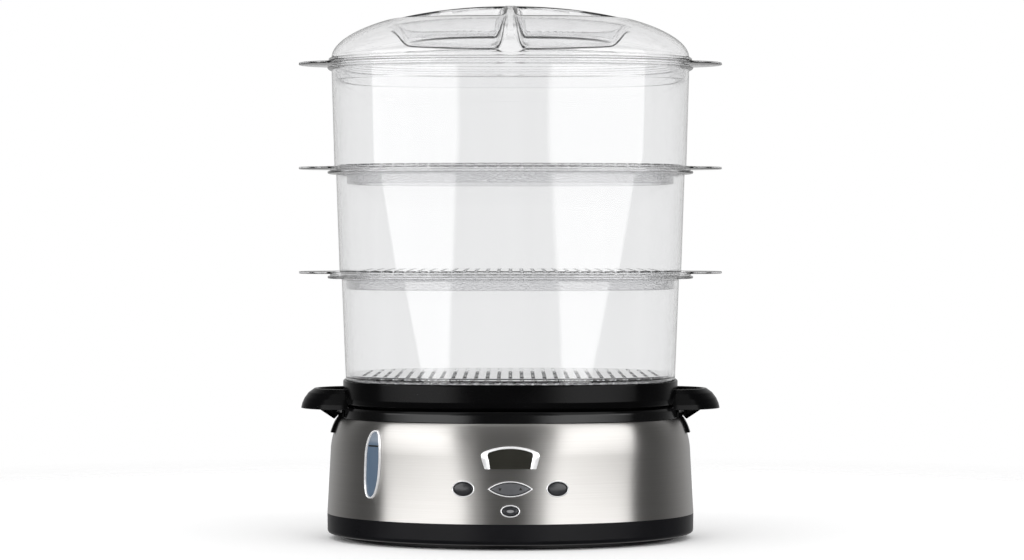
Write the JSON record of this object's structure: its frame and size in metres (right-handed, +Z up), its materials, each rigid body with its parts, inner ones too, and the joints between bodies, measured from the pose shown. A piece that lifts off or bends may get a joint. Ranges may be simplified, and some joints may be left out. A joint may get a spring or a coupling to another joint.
{
  "type": "electric food steamer",
  "caption": "Electric food steamer with an oval steel-clad base, drip tray with side grips, stacked clear baskets and a domed clear lid.",
  "frame": {"origin": "middle of the footprint, on the worktop", "axes": "+Z up, -Y towards the user at the controls, +X to the user's right"},
  "size_m": [0.317, 0.2342, 0.398],
  "materials": {
    "brushed_steel": "horizontally brushed stainless sheet",
    "black_gloss": "smooth glossy black moulding",
    "black_satin": "satin black moulding",
    "rubber_dark": "soft dark rubber",
    "screw_steel": "zinc-plated steel",
    "tank_plastic": "heat-resistant grey moulding",
    "ring_plastic": "pale heat-resistant moulding",
    "heater_metal": "cast plate with a satin face",
    "element_metal": "dull tube",
    "silicone": "red-brown silicone",
    "ceramic": "cream phenolic body",
    "clear_plastic": "clear polycarbonate",
    "gauge_clear": "clear window with a blue-grey tint",
    "chrome_trim": "bright plated plastic trim",
    "display_dark": "dark transparent window",
    "lcd_grey": "unlit display glass",
    "button_grey": "dark grey glossy cap",
    "panel_plastic": "plain inner moulding",
    "board_green": "green circuit board",
    "switch_black": "small moulded parts",
    "cable_grey": "flat grey cable",
    "relay_blue": "blue relay case",
    "sleeve_blue": "shrunk blue sleeve",
    "coil_yellow": "taped winding",
    "terminal_green": "green terminal block",
    "lead_red": "silicone-sleeved lead"
  },
  "bodies": {
    "base": {"steel_shell": "brushed_steel", "base_collar": "black_gloss", "bottom_housing": "black_satin", "bottom_plate": "black_satin", "rubber_feet": "rubber_dark", "base_screws": "screw_steel", "water_tank": "tank_plastic", "heater_plate": "heater_metal", "heater_element": "element_metal", "heater_seal": "silicone", "heater_clamp": "screw_steel", "heater_screws": "screw_steel", "thermostat": "ceramic", "thermal_fuse": "screw_steel", "gauge_window": "gauge_clear", "gauge_bezel": "chrome_trim", "gauge_chamber": "gauge_clear", "gauge_seal": "silicone", "display_lens": "display_dark", "display_bezel": "chrome_trim", "lcd_module": "lcd_grey", "left_button_ring": "chrome_trim", "rocker_ring": "chrome_trim", "right_button_ring": "chrome_trim", "power_button_ring": "chrome_trim", "control_panel": "panel_plastic", "control_board": "board_green", "tact_switches": "switch_black", "buzzer": "switch_black", "panel_screws": "screw_steel", "ribbon_cable": "cable_grey", "power_board": "board_green", "relay": "relay_blue", "capacitor": "sleeve_blue", "transformer": "coil_yellow", "terminal_block": "terminal_green", "board_screws": "screw_steel", "heater_leads": "lead_red", "cord_gland": "switch_black"},
    "steam_ring": {"steam_ring": "ring_plastic"},
    "drip_tray": {"drip_tray": "black_gloss"},
    "bottom_basket": {"bottom_basket": "clear_plastic"},
    "middle_basket": {"middle_basket": "clear_plastic"},
    "top_basket": {"top_basket": "clear_plastic"},
    "lid": {"lid": "clear_plastic"},
    "left_button": {"left_button": "button_grey"},
    "right_button": {"right_button": "button_grey"},
    "power_button": {"power_button": "button_grey"},
    "rocker_button": {"rocker_button": "button_grey"}
  },
  "joints": [
    {"name": "steam_ring_lift", "type": "slide", "parent": "base", "child": "steam_ring", "axis": [0, 0, 1], "range_m": [0, 0.08]},
    {"name": "drip_tray_lift", "type": "slide", "parent": "steam_ring", "child": "drip_tray", "axis": [0, 0, 1], "range_m": [0, 0.06]},
    {"name": "bottom_basket_lift", "type": "slide", "parent": "drip_tray", "child": "bottom_basket", "axis": [0, 0, 1], "range_m": [0, 0.06]},
    {"name": "middle_basket_lift", "type": "slide", "parent": "bottom_basket", "child": "middle_basket", "axis": [0, 0, 1], "range_m": [0, 0.06]},
    {"name": "top_basket_lift", "type": "slide", "parent": "middle_basket", "child": "top_basket", "axis": [0, 0, 1], "range_m": [0, 0.06]},
    {"name": "lid_lift", "type": "slide", "parent": "top_basket", "child": "lid", "axis": [0, 0, 1], "range_m": [0, 0.06]},
    {"name": "left_button_press", "type": "slide", "parent": "base", "child": "left_button", "axis": [0, 1, 0], "range_m": [0, 0.0008], "stiffness_N_per_m": 600},
    {"name": "right_button_press", "type": "slide", "parent": "base", "child": "right_button", "axis": [0, 1, 0], "range_m": [0, 0.0008], "stiffness_N_per_m": 600},
    {"name": "power_button_press", "type": "slide", "parent": "base", "child": "power_button", "axis": [0, 1, 0], "range_m": [0, 0.0008], "stiffness_N_per_m": 600},
    {"name": "rocker_tilt", "type": "hinge", "parent": "base", "child": "rocker_button", "pos_m": [0, -0.111, 0.0444], "axis": [0, 0, 1], "range_deg": [-2.5, 2.5], "stiffness_Nm_per_rad": 0.3}
  ]
}
